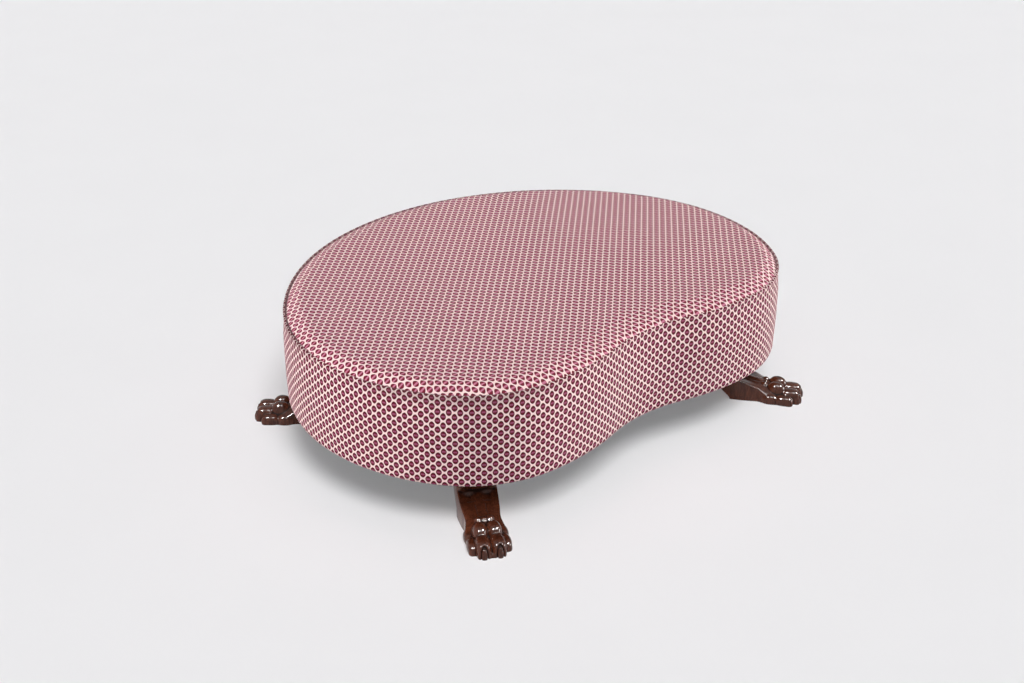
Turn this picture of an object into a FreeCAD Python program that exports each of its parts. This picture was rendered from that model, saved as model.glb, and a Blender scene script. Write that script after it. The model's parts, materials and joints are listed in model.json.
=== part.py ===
import FreeCAD, Part
import math
import os
import re

import Sketcher

# Kidney-shaped ottoman on four carved paw legs.
# +X runs along the long side, +Y to the bulging back, +Z up.
# The origin lies on the floor, under the middle of the whole outline.

os.makedirs("parts", exist_ok=True)
doc = FreeCAD.newDocument("KidneyOttoman")
sheet = doc.addObject("Spreadsheet::Sheet", "Dimensions")
working = doc.addObject("Spreadsheet::Sheet", "Working")

# Driving dimensions, in millimetres and degrees
SIZES = [
    # plan of the border's face: a chain of tangent arcs, the same on both sides of the Y axis
    ("hollow_place", 402.5, "from the origin forward to the middle of the hollow front"),
    ("hollow_radius", 384, "radius of the hollow in the front"),
    ("hollow_turn", 16, "half of the hollow's arc, in degrees"),
    ("lobe_radius", 565, "radius beside the hollow"),
    ("lobe_turn", 20, "arc beside the hollow, in degrees"),
    ("corner_radius", 290, "radius of the front corner"),
    ("corner_turn", 50, "arc of the front corner, in degrees"),
    ("end_radius", 443, "radius of the end"),
    ("end_turn", 66, "arc of the end, in degrees"),
    # heights
    ("leg_height", 115, "floor to the body's underside"),
    ("border_height", 208, "underside to the seam round the top"),
    ("crown_height", 13, "seam to the top of the crowned seat"),
    ("crown_roll", 44, "width over which the crown rolls down to the seam"),
    # cloth and padding
    ("cover_thickness", 1.5, "covering cloth"),
    ("seam_inset", 11, "seam line inside the border's face"),
    ("seam_allowance", 3, "edge of the top cover turned down at the seam"),
    ("seam_roll", 6, "bevel of the border's top edge"),
    ("under_roll", 8, "bevel of the border's bottom edge"),
    ("turn_under", 30, "cloth turned under the base board"),
    ("dust_thickness", 0.8, "black cloth under the base"),
    ("dust_inset", 16, "edge of the black cloth inside the border's face"),
    ("soft_gap", 0.3, "play between soft layers"),
    ("border_padding", 8.5, "padding behind the border"),
    ("wrap_thickness", 6, "wadding over the seat pad"),
    # carcase
    ("liner_thickness", 3, "bent ply round the posts"),
    ("board_thickness", 18, "base board and top ring"),
    ("board_width", 150, "base board, from its edge to its opening"),
    ("ring_width", 62, "top ring, from its edge to its opening"),
    ("post_size", 38, "side of a square post"),
    ("post_setback", 1, "face of a post inside the edges of the board and ring"),
    ("front_post_turn", 8, "front post, in degrees from square to the front"),
    ("middle_post_turn", 72, "inner back post, in degrees from the X axis"),
    ("pad_height", 46, "from the hessian to the seam"),
    ("hessian_thickness", 1, "hessian over the webbing"),
    ("web_thickness", 1.5, "webbing strip"),
    ("web_width", 50, "webbing strip"),
    ("web_pitch_share", 0.2, "webbing strips across, centre to centre, as a share of the half length"),
    ("long_web_share", 0.1313, "long webbing strips, centre to centre, as a share of the depth"),
    ("first_web_share", 0.19, "from the front to the first long strip, as a share of the depth"),
    ("web_overlap", 40, "webbing strip lying on the top ring"),
    ("stretcher_depth", 60, "height of a stretcher"),
    ("stretcher_width", 22, "thickness of a stretcher"),
    ("stretcher_share", 0.2, "from the middle to a stretcher, as a share of the half length"),
    # legs
    ("front_leg_angle", 57.2, "front leg, in degrees from the X axis"),
    ("back_leg_angle", 42, "back leg, in degrees from the X axis"),
    ("leg_reach", 92, "toe tips beyond the border's face at the back"),
    ("front_leg_setback", 10, "how much further in the front legs stand"),
    ("leg_width", 90, "widest place of the paw"),
    ("leg_back", 136, "from the border's face in to the back of the leg's top"),
    ("leg_top_depth", 73, "top of the leg, inwards"),
    ("leg_top_width", 84, "top of the leg, along the border"),
    ("socket_play", 2, "opening in the black cloth round a leg"),
    ("block_height", 24, "block over each leg"),
    ("block_width", 100, "block over each leg, along the border"),
    ("block_depth", 92, "block over each leg, inwards"),
    ("bolt_size", 10, "shank of a leg bolt"),
    ("bolt_grip", 45, "bolt inside the leg"),
    ("bolt_head_width", 17, "across the flats of a bolt head"),
    ("bolt_head_height", 6.4, "bolt head"),
    ("washer_size", 30, "outer size of a washer"),
    ("washer_thickness", 2.5, "washer"),
    ("fit_gap", 0.15, "play round a bolt and along the liner"),
    ("overrun", 10, "how far a cutting tool runs past what it cuts"),
]

# Places worked out from the sizes above
FORMULAS = [
    ("heading_lobe", "lobe_turn - hollow_turn"),
    ("heading_corner", "heading_lobe + corner_turn"),
    ("heading_end", "heading_corner + end_turn"),
    ("hollow_y", "-hollow_place - hollow_radius"),
    ("lobe_x", "(hollow_radius + lobe_radius) * sin(hollow_turn)"),
    ("lobe_y", "hollow_y + (hollow_radius + lobe_radius) * cos(hollow_turn)"),
    ("corner_x", "lobe_x + (lobe_radius - corner_radius) * sin(heading_lobe)"),
    ("corner_y", "lobe_y - (lobe_radius - corner_radius) * cos(heading_lobe)"),
    ("end_x", "corner_x + (corner_radius - end_radius) * sin(heading_corner)"),
    ("end_y", "corner_y - (corner_radius - end_radius) * cos(heading_corner)"),
    ("back_radius", "end_radius + end_x / sin(heading_end)"),
    ("back_y", "end_y + (back_radius - end_radius) * cos(heading_end)"),
    ("half_length", "end_x + end_radius"),
    ("front_reach", "lobe_radius - lobe_y"),
    ("whole_depth", "front_reach + back_y + back_radius"),
    # webbing and stretchers
    ("web_pitch", "half_length * web_pitch_share"),
    ("long_web_pitch", "whole_depth * long_web_share"),
    ("web_start", "front_reach - whole_depth * first_web_share"),
    ("stretcher_place", "half_length * stretcher_share"),
    # layers, from the border's face inwards
    ("padding_inset", "cover_thickness + soft_gap"),
    ("liner_inset", "padding_inset + border_padding + soft_gap"),
    ("liner_back_inset", "liner_inset + liner_thickness"),
    ("padding_back_inset", "padding_inset + border_padding"),
    ("frame_inset", "liner_inset + liner_thickness + fit_gap"),
    ("board_back_inset", "frame_inset + board_width"),
    ("ring_back_inset", "frame_inset + ring_width"),
    ("web_inset", "frame_inset + ring_width - web_overlap"),
    ("stretcher_inset", "frame_inset + post_setback"),
    ("post_inset", "frame_inset + post_setback + post_size / 2"),
    ("turn_inset", "under_roll + turn_under"),
    ("border_edge_inset", "seam_inset - soft_gap"),
    ("wrap_depth", "cover_thickness + soft_gap"),
    ("pad_depth", "wrap_depth + wrap_thickness + soft_gap"),
    # levels, from the floor up
    ("cloth_level", "leg_height + dust_thickness"),
    ("board_level", "cloth_level + cover_thickness"),
    ("post_level", "board_level + board_thickness"),
    ("seam_level", "leg_height + border_height"),
    ("pad_level", "seam_level - pad_height"),
    ("hessian_level", "pad_level - hessian_thickness"),
    ("cross_web_level", "hessian_level - web_thickness"),
    ("long_web_level", "cross_web_level - web_thickness"),
    ("ring_level", "long_web_level - board_thickness"),
    ("post_height", "ring_level - post_level"),
    ("liner_level", "board_level + soft_gap"),
    ("liner_height", "long_web_level - liner_level"),
    ("padding_level", "board_level + under_roll - cover_thickness"),
    ("padding_height", "seam_level - seam_roll - padding_level"),
    ("wrap_level", "seam_level - wrap_depth - wrap_thickness"),
    ("skirt_level", "seam_level - seam_allowance"),
    # legs: the places on the border's face that they stand under
    ("front_leg_x", "corner_x + corner_radius * cos(front_leg_angle)"),
    ("front_leg_y", "corner_y - corner_radius * sin(front_leg_angle)"),
    ("back_leg_x", "back_radius * cos(back_leg_angle)"),
    ("back_leg_y", "back_y + back_radius * sin(back_leg_angle)"),
    ("bolt_middle", "leg_back - leg_top_depth / 2"),
    ("washer_level", "post_level + block_height"),
    ("head_level", "washer_level + washer_thickness"),
]

CELLS = [alias for alias, *_ in SIZES + FORMULAS]
for line, (alias, value, meaning) in enumerate(SIZES, 1):
    sheet.set("A%d" % line, meaning)
    sheet.set("B%d" % line, str(value))
    sheet.setAlias("B%d" % line, alias)
for line, (alias, formula) in enumerate(FORMULAS, len(SIZES) + 1):
    sheet.set("A%d" % line, alias.replace("_", " "))
    sheet.set("B%d" % line, "=" + formula)
    sheet.setAlias("B%d" % line, alias)
doc.recompute()

nodes = []


def named(formula):
    """A formula with the sheet's name put before each of its cells."""
    return re.sub(r"[a-z_]+", lambda word: "Dimensions." + word[0] if word[0] in CELLS else word[0], formula)


def number(formula):
    """The present value of a formula over the sheet's names."""
    working.set("A1", "=" + named(formula))
    working.recompute()
    return float(working.get("A1"))


def bind(item, path, formula):
    """Ties a property to a formula over the sheet's names."""
    item.setExpression(path, named(formula))


def node(item, label):
    """Marks an object as one separate piece of the ottoman."""
    item.Label = label
    nodes.append(item)
    return item


def part(kind, name, **formulas):
    """A Part primitive with each named property tied to a formula."""
    item = doc.addObject("Part::" + kind, name)
    for path, formula in formulas.items():
        bind(item, path, formula)
    return item


def move(item, x="0", y="0", z="0", angle="0"):
    """Places an object by formulas and turns it about the vertical."""
    bind(item, "Placement.Base.x", x)
    bind(item, "Placement.Base.y", y)
    bind(item, "Placement.Base.z", z)
    bind(item, "Placement.Rotation.Angle", angle)
    return item


def cut(name, base, *tools):
    """The base with each tool taken out of it in turn."""
    for step, tool in enumerate(tools, 1):
        result = doc.addObject("Part::Cut", "%s_cut_%d" % (name, step))
        result.Base = base
        result.Tool = tool
        result.Refine = True
        base = result
    return base


def fuse(name, *pieces):
    """Several overlapping pieces joined into one."""
    result = doc.addObject("Part::MultiFuse", name)
    result.Shapes = list(pieces)
    result.Refine = True
    return result


def common(name, *pieces):
    """What several pieces share."""
    result = doc.addObject("Part::MultiCommon", name)
    result.Shapes = list(pieces)
    return result


def copies(name, master, places):
    """A group of copies of one piece, each at (x, y, z, angle) given as formulas."""
    links = []
    for count, place in enumerate(places, 1):
        link = doc.addObject("App::Link", "%s_copy_%d" % (name, count))
        link.LinkedObject = master
        link.LinkTransform = True
        links.append(move(link, *place))
    group = doc.addObject("Part::Compound", name)
    group.Links = links
    return group


# Plan outline. A sketch counts a line's ends and centre, and its own axes, by these numbers.

START_INDEX, END_INDEX, CENTRE_INDEX = 1, 2, 3
ORIGIN_INDEX, Y_AXIS_INDEX = -1, -2


def kidney(sketch, inset):
    """Draws the closed kidney outline in a sketch, a given inset inside the border's face."""
    inward = number(inset)
    hollow_end = number("hollow_turn")
    lobe_end = number("heading_lobe") - 90
    corner_end = number("heading_corner") - 90
    side_end = number("heading_end") - 90

    def arc(x, y, radius, start, end):
        circle = Part.Circle(FreeCAD.Vector(x, y, 0), FreeCAD.Vector(0, 0, 1), radius)
        return sketch.addGeometry(Part.ArcOfCircle(circle, math.radians(start), math.radians(end)), False)

    hollow = arc(0, number("hollow_y"), number("hollow_radius") + inward, 90 - hollow_end, 90 + hollow_end)
    lobe_at = (number("lobe_x"), number("lobe_y"), number("lobe_radius") - inward)
    corner_at = (number("corner_x"), number("corner_y"), number("corner_radius") - inward)
    end_at = (number("end_x"), number("end_y"), number("end_radius") - inward)
    lobe = arc(*lobe_at, -90 - hollow_end, lobe_end)
    corner = arc(*corner_at, lobe_end, corner_end)
    end = arc(*end_at, corner_end, side_end)
    back = arc(0, number("back_y"), number("back_radius") - inward, side_end, 180 - side_end)
    far_end = arc(-end_at[0], end_at[1], end_at[2], 180 - side_end, 180 - corner_end)
    far_corner = arc(-corner_at[0], corner_at[1], corner_at[2], 180 - corner_end, 180 - lobe_end)
    far_lobe = arc(-lobe_at[0], lobe_at[1], lobe_at[2], 180 - lobe_end, 270 + hollow_end)

    chain = [lobe, corner, end, back, far_end, far_corner, far_lobe]
    rules = [Sketcher.Constraint("Tangent", one, END_INDEX, two, START_INDEX)
             for one, two in zip(chain, chain[1:])]
    rules.append(Sketcher.Constraint("Tangent", hollow, START_INDEX, lobe, START_INDEX))
    rules.append(Sketcher.Constraint("Tangent", far_lobe, END_INDEX, hollow, END_INDEX))
    for one, two in ((lobe, far_lobe), (corner, far_corner), (end, far_end)):
        rules.append(Sketcher.Constraint("Equal", one, two))
    rules.append(Sketcher.Constraint("Symmetric", hollow, START_INDEX, hollow, END_INDEX, Y_AXIS_INDEX))
    sketch.addConstraint(rules)

    def tie(rule, formula):
        bind(sketch, "Constraints[%d]" % sketch.addConstraint(rule), formula)

    tie(Sketcher.Constraint("Radius", hollow, number("hollow_radius") + inward), "hollow_radius + " + inset)
    for curve, radius in ((lobe, "lobe_radius"), (corner, "corner_radius"), (end, "end_radius")):
        tie(Sketcher.Constraint("Radius", curve, number(radius) - inward), "%s - (%s)" % (radius, inset))
    turns = ((hollow, "2 * hollow_turn"), (lobe, "lobe_turn"), (far_lobe, "lobe_turn"),
             (corner, "corner_turn"), (far_corner, "corner_turn"), (end, "end_turn"))
    for curve, turn in turns:
        tie(Sketcher.Constraint("Angle", curve, math.radians(number(turn))), turn)
    from_origin = Sketcher.Constraint("DistanceY", hollow, CENTRE_INDEX, ORIGIN_INDEX, START_INDEX, -number("hollow_y"))
    tie(from_origin, "-hollow_y")


def level_sketch(body, name, level):
    """An empty sketch in a body, on a level plane."""
    plane = [item for item in body.Origin.OriginFeatures if item.Role == "XY_Plane"][0]
    sketch = body.newObject("Sketcher::SketchObject", name)
    sketch.AttachmentSupport = [(plane, "")]
    sketch.MapMode = "FlatFace"
    bind(sketch, "AttachmentOffset.Base.z", level)
    return sketch


def slab(name, level, height, *insets):
    """A body with a level kidney plate; a second inset opens its middle."""
    body = doc.addObject("PartDesign::Body", name)
    sketch = level_sketch(body, name + "_plan", level)
    for inset in insets:
        kidney(sketch, inset)
    pad = body.newObject("PartDesign::Pad", name + "_plate")
    pad.Profile = sketch
    bind(pad, "Length", height)
    doc.recompute()
    return body


def bevel_rim(body, upper, size):
    """Bevels the upper or the lower outer rim of a kidney plate."""
    box = body.Shape.BoundBox
    height = box.ZMax if upper else box.ZMin
    nearly = number("fit_gap")
    rim = ["Edge%d" % count for count, edge in enumerate(body.Shape.Edges, 1)
           if max(abs(edge.BoundBox.ZMin - height), abs(edge.BoundBox.ZMax - height)) < nearly]
    plate = body.Tip
    bevel = body.newObject("PartDesign::Chamfer", body.Name + ("_upper_rim" if upper else "_lower_rim"))
    bevel.Base = (plate, rim)
    bind(bevel, "Size", size)
    doc.recompute()
    return body


def block(name, level, height, depth, width):
    """A body with an upright block, square to the axes and centred on the vertical."""
    body = doc.addObject("PartDesign::Body", name)
    sketch = level_sketch(body, name + "_plan", level)
    half_x = number(depth) / 2
    half_y = number(width) / 2
    corners = [FreeCAD.Vector(x * half_x, y * half_y, 0) for x, y in ((-1, -1), (1, -1), (1, 1), (-1, 1))]
    sides = [sketch.addGeometry(Part.LineSegment(one, two), False)
             for one, two in zip(corners, corners[1:] + corners[:1])]
    for one, two in zip(sides, sides[1:] + sides[:1]):
        sketch.addConstraint(Sketcher.Constraint("Coincident", one, END_INDEX, two, START_INDEX))
    for side, way in zip(sides, ("Horizontal", "Vertical", "Horizontal", "Vertical")):
        sketch.addConstraint(Sketcher.Constraint(way, side))
    middle = Sketcher.Constraint("Symmetric", sides[0], START_INDEX, sides[2], START_INDEX, ORIGIN_INDEX, START_INDEX)
    sketch.addConstraint(middle)
    for side, length in ((sides[0], depth), (sides[1], width)):
        rule = Sketcher.Constraint("Distance", side, number(length))
        bind(sketch, "Constraints[%d]" % sketch.addConstraint(rule), length)
    pad = body.newObject("PartDesign::Pad", name + "_block")
    pad.Profile = sketch
    bind(pad, "Length", height)
    doc.recompute()
    return body


# Places round the outline

ARCS = {
    "hollow": ("0", "hollow_y", "hollow_radius + (%s)"),
    "lobe": ("lobe_x", "lobe_y", "lobe_radius - (%s)"),
    "corner": ("corner_x", "corner_y", "corner_radius - (%s)"),
    "end": ("end_x", "end_y", "end_radius - (%s)"),
    "back": ("0", "back_y", "back_radius - (%s)"),
}


def on_arc(arc, angle, inset, left=False):
    """A place an inset inside one of the outline's arcs, as (x, y, z, angle) formulas."""
    x, y, radius = ARCS[arc]
    reach = "(%s)" % (radius % inset)
    along = "%s + %s * cos(%s)" % (x, reach, angle)
    across = "%s + %s * sin(%s)" % (y, reach, angle)
    if left:
        return "-(%s)" % along, across, "0", "180 - (%s)" % angle
    return along, across, "0", angle


POST_ARCS = [("lobe", "-90 - front_post_turn"), ("corner", "-front_leg_angle"), ("end", "0"),
             ("back", "back_leg_angle"), ("back", "middle_post_turn")]
POST_PLACES = [on_arc(arc, angle, "post_inset", left) for left in (False, True) for arc, angle in POST_ARCS]
LEG_NAMES = ["front_right", "front_left", "back_right", "back_left"]
LEG_PLACES = [on_arc(arc, angle, setback, left)
              for arc, angle, setback in (("corner", "-front_leg_angle", "front_leg_setback"),
                                          ("back", "back_leg_angle", "0"))
              for left in (False, True)]

# Leg bolts and washers

def rod(name, diameter, level, height):
    """An upright cylinder over the middle of a leg's top."""
    cylinder = part("Cylinder", name, Radius="(%s) / 2" % diameter, Height=height)
    return move(cylinder, "-bolt_middle", "0", level)


bolt_hole = rod("bolt_hole", "bolt_size + 2 * fit_gap", "board_level - bolt_grip - fit_gap",
                "bolt_grip + border_height / 2")
shank = rod("bolt_shank", "bolt_size", "board_level - bolt_grip", "head_level - board_level + bolt_grip")
head = part("Prism", "bolt_head", Circumradius="bolt_head_width / (2 * cos(180 / 6))", Height="bolt_head_height")
move(head, "-bolt_middle", "0", "head_level")
node(copies("leg_bolts", fuse("bolt", shank, head), LEG_PLACES), "leg_bolts")
disc = rod("washer_disc", "washer_size", "washer_level", "washer_thickness")
node(copies("leg_washers", cut("washer", disc, bolt_hole), LEG_PLACES), "leg_washers")

# Wooden carcase

board_plate = slab("board_plate", "board_level", "board_thickness", "frame_inset", "board_back_inset")
node(cut("base_board", board_plate, copies("board_holes", bolt_hole, LEG_PLACES)), "base_board")
node(slab("top_ring", "ring_level", "board_thickness", "frame_inset", "ring_back_inset"), "top_ring")

post = block("post", "post_level", "post_height", "post_size", "post_size")
for count, place in enumerate(POST_PLACES, 1):
    node(copies("post_%d" % count, post, [place]), "post_%d" % count)

stretcher_zone = slab("stretcher_zone", "post_level", "stretcher_depth", "stretcher_inset")
for side, place in (("right", "stretcher_place"), ("left", "-stretcher_place")):
    bar = part("Box", "stretcher_bar_" + side, Length="stretcher_width", Width="4 * end_radius",
               Height="stretcher_depth")
    move(bar, place + " - stretcher_width / 2", "-2 * end_radius", "post_level")
    node(common("stretcher_" + side, bar, stretcher_zone), "stretcher_" + side)

node(slab("wall_liner", "liner_level", "liner_height", "liner_inset", "liner_back_inset"), "wall_liner")

block_blank = block("block_blank", "post_level", "block_height", "block_depth", "block_width")
bind(block_blank, "Placement.Base.x", "-bolt_middle")
leg_block = cut("leg_block", block_blank, bolt_hole)
for name, place in zip(LEG_NAMES, LEG_PLACES):
    node(copies("block_" + name, leg_block, [place]), "block_" + name)

# Webbing, hessian and seat padding

LONG_WEBS, CROSS_WEBS = 6, 8
for label, count, level, box in (
        ("webbing_long", LONG_WEBS, "long_web_level", ("4 * end_radius", "web_width")),
        ("webbing_cross", CROSS_WEBS, "cross_web_level", ("web_width", "4 * end_radius"))):
    zone = slab(label + "_zone", level, "web_thickness", "web_inset")
    for step in range(count):
        strip = part("Box", "%s_strip_%d" % (label, step + 1), Length=box[0], Width=box[1], Height="web_thickness")
        if label == "webbing_long":
            move(strip, "-2 * end_radius", "%d * long_web_pitch - web_start - web_width / 2" % step, level)
        else:
            move(strip, "(%d - %d / 2) * web_pitch - web_width / 2" % (step, count - 1), "-2 * end_radius", level)
        node(common("%s_%d" % (label, step + 1), strip, zone), "%s_%d" % (label, step + 1))

node(slab("hessian", "hessian_level", "hessian_thickness", "frame_inset"), "hessian")


def dome(name, depth, floor):
    """The seat's crowned form, a depth below the top cover's face, standing on a floor level."""
    base = "seam_level - (%s)" % depth
    body = slab(name, floor, "%s - (%s)" % (base, floor), "seam_inset + " + depth)
    rings = []
    for step, angle in enumerate((0, 90 * 2 / 5, 90)):
        ring = level_sketch(body, "%s_ring_%d" % (name, step), "%s + crown_height * sin(%s)" % (base, angle))
        kidney(ring, "seam_inset + %s + crown_roll * (1 - cos(%s))" % (depth, angle))
        rings.append(ring)
    loft = body.newObject("PartDesign::AdditiveLoft", name + "_crown")
    loft.Profile = rings[0]
    loft.Sections = rings[1:]
    loft.Ruled = True
    doc.recompute()
    return body


node(slab("seat_pad", "pad_level", "pad_height - pad_depth", "seam_inset + pad_depth"), "seat_pad")
node(dome("pad_wadding", "wrap_depth", "wrap_level"), "pad_wadding")
cover_core = dome("cover_core", "cover_thickness", "skirt_level - overrun")
node(cut("top_cover", dome("cover_form", "0 * cover_thickness", "skirt_level"), cover_core), "top_cover")

# Border padding, border cover and the black cloth below

padding = slab("padding_ring", "padding_level", "padding_height", "padding_inset")
padding_core = slab("padding_core", "padding_level - overrun", "padding_height + 2 * overrun", "padding_back_inset")
node(cut("border_padding", padding, padding_core), "border_padding")

border = slab("border_form", "cloth_level", "seam_level - cloth_level", "0")
bevel_rim(border, True, "seam_roll")
bevel_rim(border, False, "under_roll")
border_core = slab("border_core", "board_level", "seam_level - cover_thickness - board_level", "cover_thickness")
bevel_rim(border_core, True, "seam_roll - cover_thickness")
bevel_rim(border_core, False, "under_roll - cover_thickness")
upper_opening = slab("upper_opening", "seam_level - overrun", "2 * overrun", "border_edge_inset")
lower_opening = slab("lower_opening", "leg_height - overrun", "2 * overrun", "turn_inset")
node(cut("border_cover", border, border_core, upper_opening, lower_opening), "border_cover")

dust_sheet = slab("dust_sheet", "leg_height", "dust_thickness", "dust_inset")
leg_opening = block("leg_opening", "leg_height - overrun", "2 * overrun", "leg_top_depth + 2 * socket_play",
                    "leg_top_width + 2 * socket_play")
bind(leg_opening, "Placement.Base.x", "-bolt_middle")
node(cut("dust_cover", dust_sheet, copies("leg_openings", leg_opening, LEG_PLACES)), "dust_cover")

# Carved paw leg. Its own X axis points outwards, with X zero under the border's face.
# Every piece of it is carved in flat facets, begins below the floor and is cut level there.
# Foot sections, back to front: place, half-width on the floor, height of the side ridge and of the middle.
# Lengths are shares of the reach, widths of the leg's width, heights of its height.
FOOT_SHARES = [
    (-0.78, 0.475, 0.48, 0.50),
    (-0.60, 0.475, 0.45, 0.46),
    (-0.18, 0.430, 0.30, 0.375),
    (0.10, 0.420, 0.22, 0.33),
    (0.43, 0.420, 0.17, 0.27),
    (0.70, 0.360, 0.12, 0.19),
]
# Inward lean of the foot's sides and width of its roof's slope, as shares of the height they rise
LEAN_SHARE, ROOF_SHARE = 0.08, 1.4
# Shank sections, upwards: height, back and front of the section as shares of the leg's depth,
# half-width as a share of the top's width
SHANK_SHARES = [
    (-0.08, 0.487, 0.073, 0.483),
    (0.21, 0.770, 0.280, 0.500),
    (0.43, 0.905, 0.410, 0.512),
    (0.70, 0.985, 0.475, 0.512),
    (1.0, 1.0, 0.463, 0.500),
]
CORNER_SHARE = 0.12
# Toes and knuckles of one side: tip and length along the foot as shares of the reach, place across and
# half-width as shares of the leg's width, height as a share of the leg's height
TOE_SHARES = {
    "middle_toe": (1.0, 0.50, 0.172, 0.184, 0.296),
    "side_toe": (0.76, 0.52, 0.361, 0.139, 0.243),
    "knuckle": (0.55, 0.48, 0.165, 0.170, 0.400),
    "side_knuckle": (0.40, 0.49, 0.355, 0.133, 0.296),
}
# Swelling of a toe from its tip back: place, width and height as shares of its own sizes
SWELL_SHARES = [(0.0, 0.60, 0.50), (0.12, 0.86, 0.80), (0.38, 1.0, 1.0), (0.78, 0.95, 0.90), (1.0, 0.75, 0.55)]
# Facets of a toe's back: distance from its middle and drop below its top, as shares of its half-width
BACK_SHARES = [(1.0, 0.62), (0.62, 0.0)]


def section(x, y, half_points):
    """The corners of an upright section across the foot, the same on both sides of its middle."""
    near = [FreeCAD.Vector(x, y + across, up) for across, up in half_points]
    return near + [FreeCAD.Vector(x, y - across, up) for across, up in reversed(half_points)]


def foot_section(along, floor_share, ridge_share, crest_share):
    """A section of the foot: sides leaning in to the ridges, slopes up from them to a level top."""
    below = number("overrun")
    foot = floor_share * number("leg_width")
    ridge = ridge_share * number("leg_height")
    crest = crest_share * number("leg_height")
    side = foot - LEAN_SHARE * ridge
    top = side - ROOF_SHARE * (crest - ridge)
    half_points = [(foot + LEAN_SHARE * below, -below), (side, ridge), (top, crest)]
    return section(along * number("leg_reach"), 0, half_points)


def toe_section(tip, length, across, half_width, height, swell):
    """A section of a toe: upright sides and a faceted back."""
    place, width_share, height_share = swell
    half = half_width * width_share * number("leg_width")
    top = height * height_share * number("leg_height")
    half_points = [(half, -number("overrun"))]
    half_points += [(half * out, top - half * drop) for out, drop in BACK_SHARES]
    return section((tip - length * place) * number("leg_reach"), across * number("leg_width"), half_points)


def shank_section(height_share, back_share, front_share, width_share):
    """A level section of the shank: a rectangle with its corners taken off."""
    z = height_share * number("board_level")
    back = -back_share * number("leg_back")
    front = -front_share * number("leg_back")
    half = width_share * number("leg_top_width")
    corner = CORNER_SHARE * number("leg_top_width")
    points = [(front - corner, half), (back + corner, half), (back, half - corner), (back, corner - half),
              (back + corner, -half), (front - corner, -half), (front, corner - half), (front, half - corner)]
    return [FreeCAD.Vector(x, y, z) for x, y in points]


def carved(name, sections):
    """A solid with a flat facet from each edge of a section to the same edge of the next."""
    facets = [sections[0], sections[-1]]
    for one, two in zip(sections, sections[1:]):
        facets += zip(one, one[1:] + one[:1], two[1:] + two[:1], two)
    faces = [Part.Face(Part.makePolygon([*corners, corners[0]])) for corners in facets]
    item = doc.addObject("Part::Feature", name)
    item.Shape = Part.Solid(Part.Shell(faces))
    return item


carving = [carved("leg_foot", [foot_section(*shares) for shares in FOOT_SHARES]),
           carved("leg_shank", [shank_section(*shares) for shares in SHANK_SHARES])]
for name, (tip, length, across, half_width, height) in TOE_SHARES.items():
    for side, way in (("left", 1), ("right", -1)):
        sections = [toe_section(tip, length, way * across, half_width, height, swell) for swell in SWELL_SHARES]
        carving.append(carved(name + "_" + side, sections))
below_floor = part("Box", "below_floor", Length="3 * leg_back", Width="3 * leg_width", Height="2 * overrun")
move(below_floor, "-2 * leg_back", "-3 * leg_width / 2", "-2 * overrun")
leg = cut("leg", fuse("leg_carving", *carving), bolt_hole, below_floor)
for name, place in zip(LEG_NAMES, LEG_PLACES):
    node(copies("leg_" + name, leg, [place]), "leg_" + name)

# Recompute, test and write every piece

doc.recompute()
for item in doc.Objects:
    if "Invalid" in item.State or "Error" in item.State:
        raise RuntimeError("%s did not build: %s" % (item.Name, item.State))
for item in nodes:
    if item.Shape.isNull() or not item.Shape.isValid() or not item.Shape.Solids:
        raise RuntimeError("%s has no valid solid" % item.Label)
    item.Shape.exportStep(os.path.join("parts", item.Label + ".step"))
whole = Part.makeCompound([item.Shape for item in nodes]).BoundBox
print(len(nodes), "pieces", whole)
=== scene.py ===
import json
import math

import bmesh
import bpy
from mathutils import Matrix, Vector, noise


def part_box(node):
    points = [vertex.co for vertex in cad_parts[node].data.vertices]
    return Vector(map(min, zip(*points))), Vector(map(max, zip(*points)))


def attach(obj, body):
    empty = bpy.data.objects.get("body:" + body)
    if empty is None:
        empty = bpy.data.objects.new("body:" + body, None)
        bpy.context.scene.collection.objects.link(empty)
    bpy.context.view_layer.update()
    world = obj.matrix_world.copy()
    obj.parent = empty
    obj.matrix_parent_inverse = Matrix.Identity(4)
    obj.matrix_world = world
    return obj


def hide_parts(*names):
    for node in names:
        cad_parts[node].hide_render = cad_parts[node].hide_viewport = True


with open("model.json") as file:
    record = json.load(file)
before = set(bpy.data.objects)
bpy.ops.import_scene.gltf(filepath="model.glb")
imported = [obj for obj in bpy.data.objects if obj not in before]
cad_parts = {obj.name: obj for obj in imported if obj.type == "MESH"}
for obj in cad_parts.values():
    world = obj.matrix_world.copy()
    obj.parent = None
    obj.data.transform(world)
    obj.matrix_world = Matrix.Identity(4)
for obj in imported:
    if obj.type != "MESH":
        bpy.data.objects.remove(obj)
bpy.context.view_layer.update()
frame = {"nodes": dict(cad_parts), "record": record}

# Looks of the kidney-shaped ottoman, in metres, in the frame of its construction:
# +X along the long side, +Y to the bulging back, +Z up, the floor at zero.

bl_info = {
    "name": "Kidney ottoman on carved paw legs",
    "version": (1, 0, 0),
    "blender": (4, 5, 0),
    "location": "3D View > Sidebar > Ottoman",
    "description": "Dotted cloth, seams, padding and polished mahogany paws over the ottoman's construction",
    "category": "Object",
}

MM = 0.001
# Vertices nearer to each other than the first are one, and those nearer to a cut than the second lie on it
SAME_PLACE, ON_PLANE = 1e-5, 1e-6


# Sizes and colours

def length(name, description, default):
    """A length that a user may change, in metres."""
    return bpy.props.FloatProperty(name=name, description=description, default=default, unit="LENGTH",
                                   precision=4, min=0.0)


def turn(name, description, degrees):
    """An angle that a user may change."""
    return bpy.props.FloatProperty(name=name, description=description, default=math.radians(degrees),
                                   unit="ROTATION", precision=3)


def colour(name, description, default):
    """A colour that a user may change."""
    return bpy.props.FloatVectorProperty(name=name, description=description, default=default, subtype="COLOR",
                                         size=3, min=0.0, max=1.0)


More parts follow.
